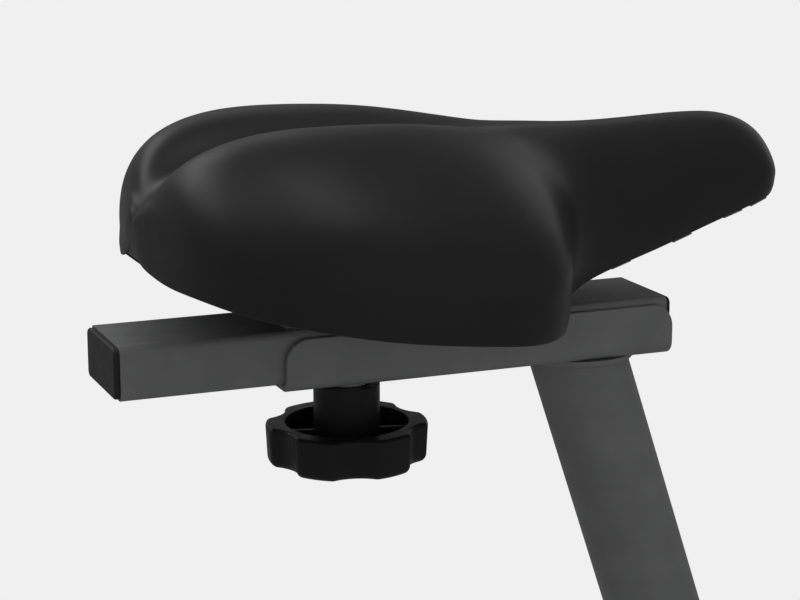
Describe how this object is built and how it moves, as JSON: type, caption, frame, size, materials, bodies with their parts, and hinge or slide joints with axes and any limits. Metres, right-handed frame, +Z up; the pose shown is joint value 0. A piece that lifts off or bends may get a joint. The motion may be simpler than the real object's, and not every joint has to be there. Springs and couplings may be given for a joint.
{
  "type": "exercise bike seat",
  "caption": "Exercise bike seat assembly: padded saddle on a sliding rectangular tube, folded bracket with a lobed clamp knob, and a leaning round seat post.",
  "frame": {"origin": "centre of the seat post's lower end", "axes": "+X forward, towards the saddle's nose; +Z up, square to the slide tube; +Y to the rider's left"},
  "size_m": [0.3308, 0.1872, 0.467],
  "materials": {
    "post_powder_coat": "fine textured satin",
    "bracket_powder_coat": "fine textured satin",
    "slide_powder_coat": "fine textured satin",
    "saddle_bracket_coat": "fine textured satin",
    "weld_metal": "fine textured satin",
    "zinc_steel": "bright zinc",
    "black_oxide": "satin",
    "cap_plastic": "fine grained",
    "knob_plastic": "satin moulded",
    "base_plastic": "moulded",
    "saddle_vinyl": "smooth satin vinyl",
    "foam": "open-cell foam",
    "insert_brass": "knurled",
    "staple_steel": "bright"
  },
  "bodies": {
    "post_and_bracket": {"seat_post": "post_powder_coat", "post_end_plug": "cap_plastic", "post_weld_bead": "weld_metal", "bracket_channel": "bracket_powder_coat", "clamp_plate": "zinc_steel"},
    "saddle_slide": {"slide_tube": "slide_powder_coat", "rear_end_cap": "cap_plastic", "front_end_cap": "cap_plastic", "saddle_bracket": "saddle_bracket_coat", "bracket_weld_beads": "weld_metal", "saddle_bolts": "black_oxide", "saddle_washers": "zinc_steel", "base_inserts": "insert_brass", "saddle_base": "base_plastic", "saddle_foam": "foam", "saddle_cover": "saddle_vinyl", "cover_staples": "staple_steel"},
    "knob_carriage": {"knob_washer": "zinc_steel", "lock_washer": "zinc_steel"},
    "clamp_knob": {"knob_body": "knob_plastic", "knob_stud": "zinc_steel", "knob_insert": "knob_plastic"}
  },
  "joints": [
    {"name": "slide_adjust", "type": "slide", "parent": "post_and_bracket", "child": "saddle_slide", "axis": [1, 0, 0], "range_m": [-0.02, 0.05]},
    {"name": "knob_travel", "type": "slide", "parent": "post_and_bracket", "child": "knob_carriage", "axis": [0, 0, 1], "range_m": [-0.0031, 0]},
    {"name": "knob_turn", "type": "hinge", "parent": "knob_carriage", "child": "clamp_knob", "pos_m": [-0.2178, 0, 0.34275], "axis": [0, 0, 1], "range_deg": [-720, 0]}
  ],
  "couplings": [
    {"joint": "knob_travel", "follows": "knob_turn", "m_per_rad": 0.00023873}
  ]
}
